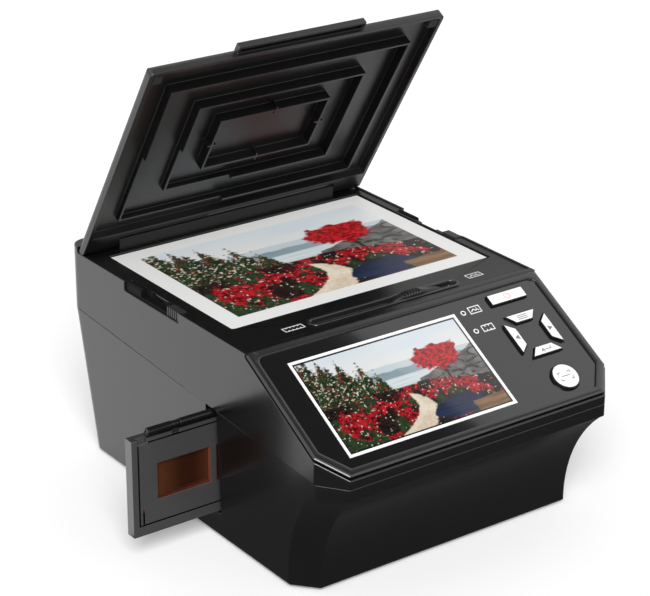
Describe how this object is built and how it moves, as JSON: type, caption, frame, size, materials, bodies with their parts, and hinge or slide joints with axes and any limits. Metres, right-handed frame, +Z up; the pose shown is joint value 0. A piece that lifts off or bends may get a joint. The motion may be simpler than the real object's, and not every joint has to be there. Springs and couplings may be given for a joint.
{
  "type": "film negative scanner",
  "caption": "Desktop film and print scanner with a hinged ribbed lid, print platen, sloping screen panel with white buttons, sliding selector and a slide-through film holder.",
  "frame": {"origin": "on the plane of the rubber feet, midway between the sides, 125 mm in front of the rear wall", "axes": "+X to the user's right, +Y to the rear, +Z up; the control panel faces -Y"},
  "size_m": [0.2514, 0.2612, 0.2624],
  "materials": {
    "body_black": "satin",
    "lid_black": "satin",
    "trim_black": "satin",
    "grip_grey": "satin",
    "overlay_black": "gloss",
    "white_line": "satin",
    "lcd_glass": "gloss",
    "clear": "gloss",
    "button_white": "satin",
    "paper": "gloss",
    "film": "gloss",
    "holder_grey": "satin",
    "diffuser": "matte",
    "board_green": "satin",
    "board_white": "satin",
    "steel": "brushed",
    "brass": "satin",
    "mirror": "gloss",
    "rubber": "matte",
    "silicone": "matte",
    "ribbon_film": "satin",
    "inner_black": "matte"
  },
  "bodies": {
    "scanner": {"upper_housing": "body_black", "lower_housing": "body_black", "rubber_feet": "rubber", "housing_screws": "steel", "hinge_bar": "trim_black", "hinge_screws": "steel", "platen_glass": "clear", "glass_tape": "rubber", "notch_grips": "grip_grey", "selector_track": "trim_black", "guide_rods": "steel", "optics_chassis": "inner_black", "chassis_screws": "steel", "camera_board": "board_green", "camera_lens": "inner_black", "panel_frame": "trim_black", "panel_overlay": "overlay_black", "lcd_outline": "white_line", "lcd_window": "lcd_glass", "lcd_module": "inner_black", "lcd_brackets": "steel", "keypad_mat": "silicone", "keypad_board": "board_green", "keypad_screws": "steel", "light_pipes": "clear", "film_track": "inner_black", "backlight_diffuser": "diffuser", "backlight_board": "board_white", "backlight_housing": "inner_black", "photo_lights": "board_white", "light_diffusers": "diffuser", "main_board": "board_green", "card_socket": "steel", "usb_socket": "steel", "board_screws": "steel", "lcd_ribbon": "ribbon_film", "camera_ribbon": "ribbon_film"},
    "lid": {"lid": "lid_black", "lid_bumpers": "rubber", "hinge_pins": "steel"},
    "selector": {"selector_knob": "trim_black", "selector_arm": "inner_black", "mirror_carriage": "inner_black", "carriage_bushes": "brass", "fold_mirror": "mirror"},
    "film_holder": {"holder_base": "holder_grey", "holder_cover": "holder_grey", "holder_pin": "steel", "film_strip": "film"},
    "print": {"sample_print": "paper"},
    "power_key": {"power_button": "button_white"},
    "menu_key": {"menu_button": "button_white"},
    "left_key": {"left_button": "button_white"},
    "right_key": {"right_button": "button_white"},
    "enter_key": {"enter_button": "button_white"},
    "scan_key": {"scan_button": "button_white"}
  },
  "joints": [
    {"name": "lid_hinge", "type": "hinge", "parent": "scanner", "child": "lid", "pos_m": [0, 0.1099, 0.12865], "axis": [-1, 0, 0], "range_deg": [-58, 27]},
    {"name": "selector_slide", "type": "slide", "parent": "scanner", "child": "selector", "axis": [-1, 0, 0], "range_m": [0, 0.045]},
    {"name": "holder_slide", "type": "slide", "parent": "scanner", "child": "film_holder", "axis": [1, 0, 0], "range_m": [-0.076, 0.114]},
    {"name": "print_lift", "type": "slide", "parent": "scanner", "child": "print", "axis": [0, -0.4384, 0.8988], "range_m": [0, 0.045]},
    {"name": "power_press", "type": "slide", "parent": "scanner", "child": "power_key", "axis": [0, 0.5, -0.866], "range_m": [0, 0.0008], "stiffness_N_per_m": 900, "springref_m": -0.0004},
    {"name": "menu_press", "type": "slide", "parent": "scanner", "child": "menu_key", "axis": [0, 0.5, -0.866], "range_m": [0, 0.0008], "stiffness_N_per_m": 900, "springref_m": -0.0004},
    {"name": "left_press", "type": "slide", "parent": "scanner", "child": "left_key", "axis": [0, 0.5, -0.866], "range_m": [0, 0.0008], "stiffness_N_per_m": 900, "springref_m": -0.0004},
    {"name": "right_press", "type": "slide", "parent": "scanner", "child": "right_key", "axis": [0, 0.5, -0.866], "range_m": [0, 0.0008], "stiffness_N_per_m": 900, "springref_m": -0.0004},
    {"name": "enter_press", "type": "slide", "parent": "scanner", "child": "enter_key", "axis": [0, 0.5, -0.866], "range_m": [0, 0.0008], "stiffness_N_per_m": 900, "springref_m": -0.0004},
    {"name": "scan_press", "type": "slide", "parent": "scanner", "child": "scan_key", "axis": [0, 0.5, -0.866], "range_m": [0, 0.0008], "stiffness_N_per_m": 900, "springref_m": -0.0004}
  ]
}
